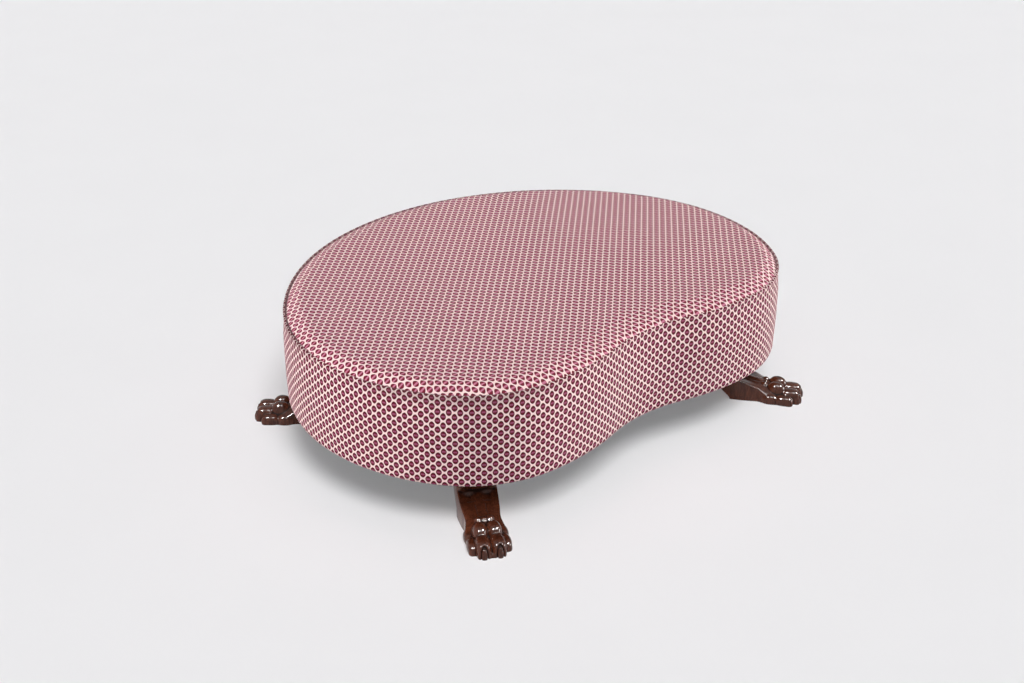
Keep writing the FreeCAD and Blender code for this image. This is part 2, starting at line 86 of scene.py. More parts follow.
class OttomanOutline(bpy.types.PropertyGroup):
    """Plan of the border's face: tangent arcs, the same on both sides of the middle."""
    hollow_place: length("Hollow place", "From the origin forward to the middle of the hollow front", 0.4025)
    hollow_radius: length("Hollow radius", "Radius of the hollow in the front", 0.384)
    hollow_turn: turn("Hollow turn", "Half of the hollow's arc", 16)
    lobe_radius: length("Lobe radius", "Radius beside the hollow", 0.565)
    lobe_turn: turn("Lobe turn", "Arc beside the hollow", 20)
    corner_radius: length("Corner radius", "Radius of the front corner", 0.290)
    corner_turn: turn("Corner turn", "Arc of the front corner", 50)
    end_radius: length("End radius", "Radius of the end", 0.443)
    end_turn: turn("End turn", "Arc of the end", 66)
    underside: length("Underside", "Floor to the body's underside", 0.1158)
    seam_level: length("Seam level", "Floor to the seam round the top", 0.323)


class OttomanCloth(bpy.types.PropertyGroup):
    """Covering cloth, its woven dots and its seams."""
    thickness: length("Thickness", "Covering cloth", 0.0015)
    crown: length("Crown", "Rise of the seat above its seam", 0.013)
    crown_roll: length("Crown roll", "Width over which the seat rolls down to the seam", 0.050)
    wall_swell: length("Wall swell", "How far the border swells out at half its height", 0.0024)
    wall_repeat: length("Wall repeat", "Dots along the border, centre to centre", 0.0225)
    wall_rise: length("Wall rise", "Dots up the border, centre to centre", 0.0196)
    top_repeat: length("Top repeat", "Dots along the seat, centre to centre", 0.0211)
    top_rise: length("Top rise", "Dots across the seat, centre to centre", 0.0202)
    ground: colour("Ground", "Pale net between the dots", (0.89, 0.70, 0.68))
    # The border's dot and band colours are darker copies of the seat's: painted shade, for the border
    # standing in shade
    top_dot: colour("Seat dot", "Burgundy of the dots on the seat", (0.205, 0.003, 0.022))
    wall_dot_shaded: colour("Border dot", "Burgundy of the dots on the border", (0.125, 0.002, 0.012))
    top_band: colour("Seat band", "Mauve band across each dot on the seat", (0.64, 0.19, 0.30))
    wall_band_shaded: colour("Border band", "Mauve band across each dot on the border", (0.40, 0.08, 0.17))
    step: length("Step", "Distance between the mesh's columns round the outline", 0.0075)
    join: length("Join", "From the hollow's middle round to the left to the border's upright join", 0.884)


class OttomanWood(bpy.types.PropertyGroup):
    """Carved mahogany legs."""
    reach: length("Reach", "Toe tips beyond the border's face at the back", 0.092)
    setback: length("Setback", "How much further in the front legs stand", 0.010)
    front_angle: turn("Front angle", "Front legs, from the X axis", 57.2)
    back_angle: turn("Back angle", "Back legs, from the X axis", 42)
    front_left_twist: turn("Front left twist", "How far the front left leg is turned about its toe tips", 4)
    top_level: length("Top level", "Floor to the top of a leg", 0.1173)
    grain: length("Grain", "Size of the cells that a carved leg is meshed with", 0.0015)
    # Dark is the pores' colour, and also the painted shade in the carved recesses
    dark: colour("Dark", "Polished wood in the recesses", (0.008, 0.0025, 0.0018))
    warm: colour("Warm", "Polished wood on the high places", (0.098, 0.026, 0.012))


# Meshes

def clamped(value):
    """A value kept from zero to one."""
    return min(1.0, max(0.0, value))


def ripple(place, waves, height):
    """A soft irregular rise or fall, with so many waves in a metre and a height in millimetres."""
    return noise.noise(place * waves) * height * MM


def new_object(name, bm, smooth=True):
    """An object at the origin, holding a finished mesh."""
    if not bm.faces:
        raise RuntimeError(name + " has no faces")
    mesh = bpy.data.meshes.new(name)
    for face in bm.faces:
        face.smooth = smooth
    bm.to_mesh(mesh)
    bm.free()
    piece = bpy.data.objects.new(name, mesh)
    bpy.context.scene.collection.objects.link(piece)
    return piece


def thicken(piece, thickness):
    """Gives a cloth its thickness, inwards from its face."""
    wall = piece.modifiers.new("thickness", "SOLIDIFY")
    wall.thickness = thickness
    wall.offset = -1


def give(piece, material):
    """Puts one material on a whole piece."""
    piece.data.materials.clear()
    piece.data.materials.append(material)


def finish_piece(piece, material, slot, *nodes):
    """Gives a piece its finish, ties it to the root, and hides the construction parts that it covers."""
    give(piece, material)
    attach(piece, "root")
    if nodes:
        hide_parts(*nodes)


def with_corners(faces):
    """Faces together with their vertices and edges."""
    geometry = set(faces)
    for face in faces:
        geometry.update(face.verts, face.edges)
    return list(geometry)


def smooth_over(bm, factor, times=1):
    """Draws every vertex towards its neighbours."""
    for _ in range(times):
        bmesh.ops.smooth_vert(bm, verts=bm.verts, factor=factor, use_axis_x=True, use_axis_y=True,
                              use_axis_z=True)


def close_opening(bm, lowest=-1.0, highest=1.0):
    """Closes the opening whose edges lie between two heights, with one face."""
    rim = [edge for edge in bm.edges if edge.is_boundary
           and all(lowest < vert.co.z < highest for vert in edge.verts)]
    return bmesh.ops.contextual_create(bm, geom=rim)["faces"]


class Arc:
    """One arc of the border's face: its centre, radius, first direction and turn."""

    def __init__(self, centre, radius, start, turn, before):
        self.centre, self.radius, self.start, self.turn, self.before = centre, radius, start, turn, before
        self.length = radius * abs(turn)

    def miss(self, point):
        """How far a point lies from the arc, and how far along the arc it is."""
        away = point - self.centre
        angle = (math.atan2(away.y, away.x) - self.start) * math.copysign(1, self.turn)
        angle = (angle + math.pi) % (2 * math.pi) - math.pi
        inside = min(max(angle, 0.0), abs(self.turn))
        miss = abs(away.length - self.radius) + abs(angle - inside) * self.radius
        return miss, self.before + inside * self.radius


def outline_arcs(outline):
    """The arcs of the right half, from the middle of the hollow round to the middle of the back."""
    quarter = math.pi / 2
    hollow = Vector((0, -outline.hollow_place - outline.hollow_radius))

    def towards(heading, distance):
        return distance * Vector((math.sin(heading), -math.cos(heading)))

    lobe_heading = outline.lobe_turn - outline.hollow_turn
    corner_heading = lobe_heading + outline.corner_turn
    end_heading = corner_heading + outline.end_turn
    lobe = hollow - towards(-outline.hollow_turn, outline.hollow_radius + outline.lobe_radius)
    corner = lobe + towards(lobe_heading, outline.lobe_radius - outline.corner_radius)
    end = corner + towards(corner_heading, outline.corner_radius - outline.end_radius)
    back_radius = outline.end_radius + end.x / math.sin(end_heading)
    back = end + towards(end_heading, outline.end_radius - back_radius)
    arcs = []
    for centre, radius, start, turned in (
            (hollow, outline.hollow_radius, quarter, -outline.hollow_turn),
            (lobe, outline.lobe_radius, -quarter - outline.hollow_turn, outline.lobe_turn),
            (corner, outline.corner_radius, lobe_heading - quarter, outline.corner_turn),
            (end, outline.end_radius, corner_heading - quarter, outline.end_turn),
            (back, back_radius, end_heading - quarter, math.pi - end_heading)):
        before = arcs[-1].before + arcs[-1].length if arcs else 0.0
        arcs.append(Arc(centre, radius, start, turned, before))
    return arcs


def whole_round(arcs):
    """The length of the whole outline."""
    return 2 * (arcs[-1].before + arcs[-1].length)


def place_round(arcs, point):
    """How far round the outline a point is: from the middle of the hollow, right positive."""
    folded = Vector((abs(point.x), point.y))
    return math.copysign(min(arc.miss(folded) for arc in arcs)[1], point.x)


def point_round(arcs, distance, inset=0.0):
    """The point of the border's face, or an inset inside it, at a distance round, and the way inwards."""
    for arc in arcs:
        if abs(distance) <= arc.before + arc.length + 1e-9:
            break
    angle = arc.start + (abs(distance) - arc.before) / arc.radius * math.copysign(1, arc.turn)
    out = Vector((math.cos(angle), math.sin(angle)))
    inward = -out * math.copysign(1, arc.turn)
    point = arc.centre + out * arc.radius + inward * inset
    side = math.copysign(1, distance)
    return Vector((side * point.x, point.y, 0)), Vector((side * inward.x, inward.y, 0))


def sweep_round(bm, arcs, step):
    """Carries the profile in the plane X = 0 round the outline's right half, and mirrors it to the left."""
    swept = bm.verts[:] + bm.edges[:]
    for arc in arcs:
        swept = bmesh.ops.spin(bm, geom=swept, cent=arc.centre.to_3d(), axis=(0, 0, 1), dvec=(0, 0, 0),
                               angle=arc.turn, steps=max(1, round(arc.length / step)), use_merge=False,
                               use_normal_flip=False, use_duplicate=False)["geom_last"]
    bmesh.ops.mirror(bm, geom=bm.verts[:] + bm.edges[:] + bm.faces[:], matrix=Matrix(), merge_dist=SAME_PLACE,
                     axis="X")
    bmesh.ops.remove_doubles(bm, verts=bm.verts, dist=SAME_PLACE)
    bmesh.ops.recalc_face_normals(bm, faces=bm.faces)


def open_line(bm, outline, rows):
    """A line in the plane X = 0, at the middle of the hollow, through rows given as (inset, height)."""
    points = [bm.verts.new((0, inset - outline.hollow_place, height)) for inset, height in rows]
    for one, two in zip(points, points[1:]):
        bm.edges.new((one, two))
    return points


def profile(outline, *corners):
    """A mesh of one such line, from corners given as (inset, height, rounding, pieces of the rounding)."""
    bm = bmesh.new()
    points = open_line(bm, outline, [corner[:2] for corner in corners])
    for point, (_, _, rounding, pieces) in zip(points, corners):
        if rounding:
            bmesh.ops.bevel(bm, geom=[point], offset=rounding, offset_type="OFFSET", segments=pieces,
                            profile=0.5, affect="VERTICES", material=-1)
    return bm


def rolled_rows(inset, width, low, rise, count):
    """Rows of a line that rolls over from upright to level."""
    angles = [math.pi / 2 * row / count for row in range(count + 1)]
    return [(inset + width * (1 - math.cos(angle)), low + rise * math.sin(angle)) for angle in angles]


def divide_long_edges(bm, longest):
    """Divides every edge of a profile into pieces no longer than a length."""
    for edge in bm.edges[:]:
        cuts = math.ceil(edge.calc_length() / longest) - 1
        if cuts > 0:
            bmesh.ops.subdivide_edges(bm, edges=[edge], cuts=cuts)


def measure_profile(bm, zero):
    """Stores how far each vertex is along the profile, down from the vertex nearest to a height."""
    run = bm.verts.layers.float.new("run")
    point = max((v for v in bm.verts if len(v.link_edges) == 1), key=lambda v: v.co.z)
    distance, came, order = 0.0, None, []
    while point:
        point[run] = distance
        order.append(point)
        onward = [edge for edge in point.link_edges if edge is not came]
        if not onward:
            break
        came = onward[0]
        distance += came.calc_length()
        point = came.other_vert(point)
    start = min(order, key=lambda v: abs(v.co.z - zero))[run]
    for point in order:
        point[run] -= start


def follow(stations, place):
    """A value on the smooth curve through stations given as (place, value)."""
    if place <= stations[0][0]:
        return stations[0][1]
    if place >= stations[-1][0]:
        return stations[-1][1]
    last = len(stations) - 1
    at = next(number for number in range(last) if place <= stations[number + 1][0])
    slopes = []
    for number in (at, at + 1):
        before, after = stations[max(0, number - 1)], stations[min(last, number + 1)]
        slopes.append((after[1] - before[1]) / (after[0] - before[0]))
    (one, low), (two, high) = stations[at:at + 2]
    gap = two - one
    t = (place - one) / gap
    return (low * (1 + 2 * t) * (1 - t) ** 2 + slopes[0] * gap * t * (1 - t) ** 2
            + high * t * t * (3 - 2 * t) + slopes[1] * gap * t * t * (t - 1))


def map_border(bm, arcs, join):
    """Lays the cloth round the border: along the outline from the join, and down the profile."""
    run = bm.verts.layers.float["run"]
    laid = bm.loops.layers.uv.new("Cloth")
    whole = whole_round(arcs)
    places = {vert: place_round(arcs, vert.co) - join for vert in bm.verts}
    for face in bm.faces:
        middle = (place_round(arcs, face.calc_center_median()) - join) % whole
        for loop in face.loops:
            place = places[loop.vert]
            place += whole * round((middle - place) / whole)
            loop[laid].uv = (place, -loop.vert[run])


# How dark the seam's shadow is: distance round from the middle of the hollow, right positive, and share
SEAM_SHADES = ((-1.72, 0.8), (-1.5, 0.8), (-1.0, 1.0), (-0.92, 0.85), (-0.83, 0.25), (-0.75, 0.3),
               (-0.66, 0.85), (-0.38, 0.85), (-0.29, 0.2), (0.40, 0.2), (0.5, 0.8), (0.9, 0.7), (1.72, 0.8))


def fade_shade(bm, arcs):
    """Makes the seam's shadow weaker where the two cloths lie flat against each other."""
    shade = bm.verts.layers.float["seam_shade"]
    for vert in bm.verts:
        if vert[shade] > 0:
            vert[shade] *= follow(SEAM_SHADES, place_round(arcs, vert.co))


def press_out(piece, pinned, most):
    """Presses a cover outwards with a cloth simulation; no point moves further than a limit."""
    frames = 20
    scene = bpy.context.scene
    start = [vert.co.copy() for vert in piece.data.vertices]
    piece.vertex_groups.new(name="pinned").add(pinned, 1.0, "REPLACE")
    pressed = piece.modifiers.new("pressure", "CLOTH")
    settings = pressed.settings
    settings.vertex_group_mass = "pinned"
    settings.quality = 6
    settings.mass = 0.3
    settings.bending_stiffness = 0.8
    settings.shrink_min = -0.006
    settings.use_pressure = True
    settings.uniform_pressure_force = 4.0
    settings.effector_weights.gravity = 0.0
    for number in range(1, frames + 1):
        scene.frame_set(number)
    evaluated = piece.evaluated_get(bpy.context.evaluated_depsgraph_get())
    moves = [vert.co - before for vert, before in zip(evaluated.data.vertices, start)]
    piece.modifiers.remove(pressed)
    piece.vertex_groups.clear()
    for vert, before, move in zip(piece.data.vertices, start, moves):
        vert.co = before + move * min(1.0, most / max(move.length, 1e-9))
    scene.frame_set(1)


# Shader nodes

def scaled(tone, by):
    """A colour made darker or lighter."""
    return tuple(min(1.0, by * part) for part in tone)


class Nodes:
    """Builds a tree of shader nodes, each placed after the one before it."""

    def __init__(self, tree):
        self.tree = tree

    def add(self, kind, **settings):
        """A new node with some of its settings."""
        in_row, width, height = 12, 200, 260
        node = self.tree.nodes.new(kind)
        row, column = divmod(len(self.tree.nodes), in_row)
        node.location = (width * column, -height * row)
        for name, value in settings.items():
            setattr(node, name, value)
        return node

    def join(self, source, target):
        """Links a socket, or sets a plain value."""
        if isinstance(source, bpy.types.NodeSocket):
            self.tree.links.new(source, target)
        else:
            target.default_value = source

    def fill(self, node, **values):
        """Links or sets a node's sockets, named with underscores for spaces."""
        for name, value in values.items():
            self.join(value, node.inputs[name.replace("_", " ")])
        return node.outputs[0]

    def math(self, operation, *values, clamp=False):
        """One operation on values and sockets."""
        node = self.add("ShaderNodeMath", operation=operation, use_clamp=clamp)
        for value, socket in zip(values, node.inputs):
            self.join(value, socket)
        return node.outputs[0]

    def plus(self, one, two):
        """One value added to another."""
        return self.math("ADD", one, two)

    def minus(self, one, two):
        """One value less another."""
        return self.math("SUBTRACT", one, two)

    def times(self, one, two):
        """One value times another."""
        return self.math("MULTIPLY", one, two)

    def between(self, value, low, high, to_low=0.0, to_high=1.0, smooth=True):
        """A value carried from one range to another, clamped."""
        node = self.add("ShaderNodeMapRange", interpolation_type="SMOOTHSTEP" if smooth else "LINEAR")
        for number, socket in zip((value, low, high, to_low, to_high), node.inputs):
            self.join(number, socket)
        return node.outputs[0]

    def mix(self, share, one, two, blend="MIX"):
        """One colour changed to another by a share."""
        node = self.add("ShaderNodeMix", data_type="RGBA", blend_type=blend)
        self.join(share, node.inputs[0])
        for value, socket in ((one, node.inputs[6]), (two, node.inputs[7])):
            self.join(value if isinstance(value, bpy.types.NodeSocket) else (*value, 1.0), socket)
        return node.outputs[2]

    def coordinates(self, scale=(1, 1, 1), layer=None):
        """Places on the object, or on one of its own maps, scaled."""
        if layer:
            source = self.add("ShaderNodeUVMap", uv_map=layer).outputs[0]
        else:
            source = self.add("ShaderNodeTexCoord").outputs["Object"]
        return self.fill(self.add("ShaderNodeMapping"), Vector=source, Scale=scale)

    def axes(self, vector):
        """The first two parts of a vector."""
        node = self.add("ShaderNodeSeparateXYZ")
        self.join(vector, node.inputs[0])
        return node.outputs[:2]

    def attribute(self, name):
        """A value that the mesh itself holds."""
        return self.add("ShaderNodeAttribute", attribute_name=name).outputs["Fac"]

    def noise(self, vector, scale, detail=3.0, rough=0.5, distortion=0.0):
        """Soft noise, its scale in cells to the metre."""
        return self.fill(self.add("ShaderNodeTexNoise"), Vector=vector, Scale=scale, Detail=detail,
                         Roughness=rough, Distortion=distortion)

    def bump(self, height, distance, strength):
        """A normal for fine relief."""
        return self.fill(self.add("ShaderNodeBump"), Height=height, Distance=distance, Strength=strength)

    def seen_ray(self):
        """One for rays that show a surface or its reflection, zero for rays that only carry its light."""
        path = self.add("ShaderNodeLightPath").outputs
        seen = self.math("MAXIMUM", path["Is Camera Ray"], path["Is Glossy Ray"])
        return self.math("MAXIMUM", seen, path["Is Transmission Ray"])


class Finish(Nodes):
    """The nodes of one material, round its shader."""

    def __init__(self, name):
        self.material = bpy.data.materials.new(name)
        self.material.use_nodes = True
        super().__init__(self.material.node_tree)
        self.tree.nodes.clear()
        self.shader = self.add("ShaderNodeBsdfPrincipled")
        self.join(self.shader.outputs[0], self.add("ShaderNodeOutputMaterial").inputs["Surface"])

    def done(self, **values):
        """Fills the shader's own sockets and returns the material."""
        self.fill(self.shader, **values)
        return self.material


def weave(nodes, place, threads):
    """Height of a plain weave with so many threads in a metre, on a place in metres."""
    waves = [nodes.math("SINE", nodes.times(axis, threads * math.pi)) for axis in nodes.axes(place)]
    return nodes.math("ABSOLUTE", nodes.times(*waves))


# A dot's edge is where DOT_ACROSS * across ** 2 + DOT_UP * up ** 2 + DOT_SLANT * across * up comes to one,
# with across and up in shares of the repeat
DOT_ACROSS, DOT_UP, DOT_SLANT = 14.0, 6.4, 2.4
# How far a dot's mauve band reaches to each side, in shares of the repeat
WALL_BAND_REACH, TOP_BAND_REACH = 0.14, 0.24


def dotted_cloth(name, ground, repeat, rise, dot_colour, band_colour, band_reach):
    """Pale cloth with a half-drop lattice of burgundy dots, each with a mauve band across its middle."""
    net_fleck, dot_fleck = (0.66, 0.44, 0.42), (0.26, 0.03, 0.06)
    thread_shade, seam_shadow = (0.70, 0.66, 0.66), (0.075, 0.026, 0.030)
    nodes = Finish(name)
    place = nodes.coordinates(layer="Cloth")
    wander = nodes.times(nodes.minus(nodes.noise(place, 60.0, 2.0), 0.5), 0.10)
    cells = []
    for axis, pitch in zip(nodes.axes(place), (repeat, rise)):
        turns = nodes.plus(nodes.math("DIVIDE", axis, pitch), wander)
        cells.append(nodes.math("ABSOLUTE", nodes.minus(nodes.math("FRACT", turns), 0.5)))
    dropped = [nodes.minus(0.5, cell) for cell in cells]
    metrics, bands = [], []
    for across, up in (cells, dropped):
        squares = nodes.plus(nodes.times(nodes.times(across, across), DOT_ACROSS),
                             nodes.times(nodes.times(up, up), DOT_UP))
        slant = nodes.times(nodes.times(across, up), DOT_SLANT)
        metrics.append(nodes.math("SQRT", nodes.plus(squares, slant)))
        bands.append(nodes.times(nodes.between(up, 0.065, 0.115, 1.0, 0.0),
                                 nodes.between(across, band_reach, band_reach + 0.06, 1.0, 0.0)))
    metric = nodes.math("MINIMUM", *metrics)
    nearer = nodes.math("LESS_THAN", metrics[1], metrics[0])
    band = nodes.plus(nodes.times(bands[1], nearer), nodes.times(bands[0], nodes.minus(1.0, nearer)))
    inside = nodes.between(metric, 0.95, 1.05, 1.0, 0.0)
    rim = nodes.between(metric, 1.12, 1.38, 1.0, 0.0)
    flecks = nodes.noise(nodes.coordinates(scale=(1400, 500, 1), layer="Cloth"), 1.0)
    net = nodes.mix(rim, ground, scaled(ground, 1.10))
    net = nodes.mix(nodes.between(flecks, 0.35, 0.8, 0.0, 0.35, smooth=False), net, net_fleck)
    dot = nodes.mix(nodes.between(metric, 0.25, 0.9), dot_colour, scaled(dot_colour, 0.62))
    dot = nodes.mix(nodes.between(flecks, 0.3, 0.85, 0.0, 0.22, smooth=False), dot, dot_fleck)
    mauve = nodes.mix(nodes.between(flecks, 0.3, 0.7), band_colour, scaled(band_colour, 0.75))
    base = nodes.mix(inside, net, nodes.mix(band, dot, mauve))
    threads = weave(nodes, place, 1300)
    base = nodes.mix(nodes.between(threads, 0.0, 0.35, 0.6, 0.0), base, thread_shade, blend="MULTIPLY")
    base = nodes.mix(nodes.attribute("seam_shade"), base, seam_shadow)
    height = nodes.plus(nodes.times(threads, 0.5), nodes.times(inside, 0.8))
    height = nodes.plus(height, nodes.times(flecks, 0.3))
    return nodes.done(Base_Color=base, Roughness=0.85, Specular_IOR_Level=0.12, Sheen_Weight=0.06,
                      Sheen_Roughness=0.4, Sheen_Tint=(1.0, 0.85, 0.85, 1.0),
                      Normal=nodes.bump(height, 0.0004, 0.8))


def mahogany(wood):
    """French-polished mahogany: red-brown with dark pores, and painted shade, nearly black, in the carved
    recesses.
    """
    nodes = Finish("mahogany_polished")
    recess = nodes.attribute("recess")
    streaks = nodes.noise(nodes.coordinates(scale=(1, 1, 0.22)), 160.0, 6.0, 0.62, 1.2)
    pores = nodes.noise(nodes.coordinates(scale=(1, 1, 0.12)), 1500.0, 2.0, 0.6)
    patches = nodes.noise(nodes.coordinates(), 22.0)
    base = nodes.mix(nodes.between(streaks, 0.36, 0.66), scaled(wood.warm, 0.45), wood.warm)
    base = nodes.mix(nodes.between(patches, 0.35, 0.7, 0.0, 0.5), base, scaled(wood.warm, 0.35))
    base = nodes.mix(nodes.between(pores, 0.60, 0.70, 0.0, 0.6), base, wood.dark)
    # Painted shade: the carved recesses and hollows darkened nearly to black
    base = nodes.mix(nodes.math("MULTIPLY", recess, 0.95, clamp=True), base, wood.dark)
    height = nodes.minus(nodes.times(streaks, 0.25), nodes.times(nodes.between(pores, 0.6, 0.72), 0.5))
    rough = nodes.plus(nodes.between(recess, 0.0, 1.0, 0.14, 0.5, smooth=False),
                       nodes.between(patches, 0.3, 0.7, 0.0, 0.08))
    return nodes.done(Base_Color=base, Roughness=rough, Normal=nodes.bump(height, 0.0003, 0.35),
                      Specular_IOR_Level=nodes.between(recess, 0.1, 0.7, 0.15, 0.05),
                      Coat_Weight=nodes.between(recess, 0.1, 0.6, 0.38, 0.0), Coat_Roughness=0.05)


def plain_wood(name, pale, dark, rings, along):
    """Unfinished wood with grain along one axis."""
    nodes = Finish(name)

    def stretched(share):
        return nodes.coordinates(scale=tuple(share if axis == along else 1.0 for axis in range(3)))

    grain = nodes.noise(stretched(0.12), rings, 5.0, 0.6, 0.8)
    fine = nodes.noise(stretched(0.05), 900.0)
    base = nodes.mix(nodes.between(grain, 0.35, 0.68), pale, dark)
    base = nodes.mix(nodes.between(fine, 0.45, 0.75, 0.0, 0.35), base, scaled(dark, 0.7))
    return nodes.done(Base_Color=base, Roughness=0.72, Normal=nodes.bump(fine, 0.0003, 0.4))


def woven_fibre(name, pale, dark, threads):
    """Coarse woven fibre, such as jute webbing, hessian or black lining."""
    nodes = Finish(name)
    place = nodes.coordinates()
    height = weave(nodes, place, threads)
    fluff = nodes.noise(place, 700.0, 4.0)
    base = nodes.mix(nodes.between(height, 0.05, 0.7), dark, pale)
    base = nodes.mix(nodes.between(fluff, 0.4, 0.7, 0.0, 0.4), base, scaled(pale, 0.7))
    return nodes.done(Base_Color=base, Roughness=0.9, Specular_IOR_Level=0.2, Sheen_Weight=0.15,
                      Normal=nodes.bump(height, 0.0006, 0.7))


def soft_filling(name, tone, cells):
    """Foam or wadding: pale, with fine irregular cells."""
    nodes = Finish(name)
    bubbles = nodes.noise(nodes.coordinates(), cells, 6.0, 0.7)
    base = nodes.mix(nodes.between(bubbles, 0.35, 0.65, 0.0, 0.5), tone, scaled(tone, 0.8))
    return nodes.done(Base_Color=base, Roughness=0.95, Specular_IOR_Level=0.1,
                      Normal=nodes.bump(bubbles, 0.001, 0.6))


def plated_steel():
    """Zinc-plated steel with faint brush marks."""
    nodes = Finish("steel_zinc_plated")
    marks = nodes.noise(nodes.coordinates(scale=(1, 1, 0.1)), 900.0)
    rough = nodes.between(marks, 0.3, 0.7, 0.28, 0.45, smooth=False)
    base = nodes.mix(marks, (0.58, 0.58, 0.56), (0.74, 0.74, 0.71))
    return nodes.done(Base_Color=base, Metallic=1.0, Roughness=rough, Normal=nodes.bump(marks, 0.0001, 0.3))


# Operators

# Lamps: name, power, angle in degrees, the way to it, whether it throws a shadow, lights what isn't glossy,
# and shows in reflections. The two side lamps are even fills, and the two glints show only as reflections.
LAMPS = (
    ("main", 2.40, 26, (-0.250, -0.490, 0.835), True, True, True),
    ("side_right", 2.95, 24, (0.790, -0.613, 0.040), False, True, True),
    ("side_left", 3.38, 24, (-0.850, 0.527, 0.040), False, True, False),
    ("glint_right", 9.0, 9, (0.45, -0.75, 0.95), True, False, True),
    ("glint_left", 9.0, 9, (-0.90, -0.15, 1.05), True, False, True),
)
# Camera: its place, how far it looks down and to the right in degrees, and its lens in millimetres
CAMERA_PLACE = (-1.942, -2.183, 1.655)
CAMERA_DOWN, CAMERA_RIGHT = 27.40, 41.22
FOCAL_LENGTH, FILM_WIDTH = 49.35, 36.0


class OTTOMAN_OT_stage(bpy.types.Operator):
    """Sets the floor, the studio light and the camera"""
    bl_idname = "ottoman.stage"
    bl_label = "Stage"

    def execute(self, context):
        scene = context.scene
        self.lay_floor()
        scene.world = self.backdrop()
        for name, power, angle, source, shadow, diffuse, reflected in LAMPS:
            lamp = bpy.data.lights.new(name, "SUN")
            lamp.energy = power
            lamp.angle = math.radians(angle)
            lamp.use_shadow = shadow
            light = bpy.data.objects.new(name, lamp)
            light.rotation_euler = Vector(source).to_track_quat("Z", "Y").to_euler()
            light.visible_diffuse = diffuse
            light.visible_glossy = reflected
            scene.collection.objects.link(light)
        lens = bpy.data.cameras.new("camera")
        lens.sensor_width = FILM_WIDTH
        lens.lens = FOCAL_LENGTH
        camera = bpy.data.objects.new("camera", lens)
        camera.location = CAMERA_PLACE
        camera.rotation_euler = (math.radians(90 - CAMERA_DOWN), 0, math.radians(-CAMERA_RIGHT))
        scene.collection.objects.link(camera)
        scene.camera = camera
        scene.view_settings.view_transform = "Standard"
        return {"FINISHED"}

    def lay_floor(self):
        """A sheet of pale paper, which throws little of its light back on the ottoman."""
        reach, glow, thrown_back = 20.0, 0.11, (0.17, 0.169, 0.172)
        bm = bmesh.new()
        bmesh.ops.create_grid(bm, x_segments=8, y_segments=8, size=reach)
        floor = new_object("floor", bm, smooth=False)
        nodes = Finish("floor_paper")
        specks = nodes.noise(nodes.coordinates(), 3.0, 2.0)
        tone = nodes.mix(specks, (0.715, 0.71, 0.725), (0.735, 0.73, 0.745))
        seen = nodes.seen_ray()
        give(floor, nodes.done(Base_Color=nodes.mix(seen, thrown_back, tone), Roughness=0.9,
                               Specular_IOR_Level=0.1, Emission_Color=(1.0, 1.0, 1.0, 1.0),
                               Emission_Strength=nodes.times(seen, glow)))

    def backdrop(self):
        """An even pale surround, brighter to the eye and in reflections than in the light it gives."""
        given, more_when_seen = 0.24, 0.72
        world = bpy.data.worlds.new("studio")
        world.use_nodes = True
        nodes = Nodes(world.node_tree)
        strength = nodes.math("MULTIPLY_ADD", nodes.seen_ray(), more_when_seen, given)
        nodes.fill(world.node_tree.nodes["Background"], Color=(0.82, 0.82, 0.83, 1.0), Strength=strength)
        return world


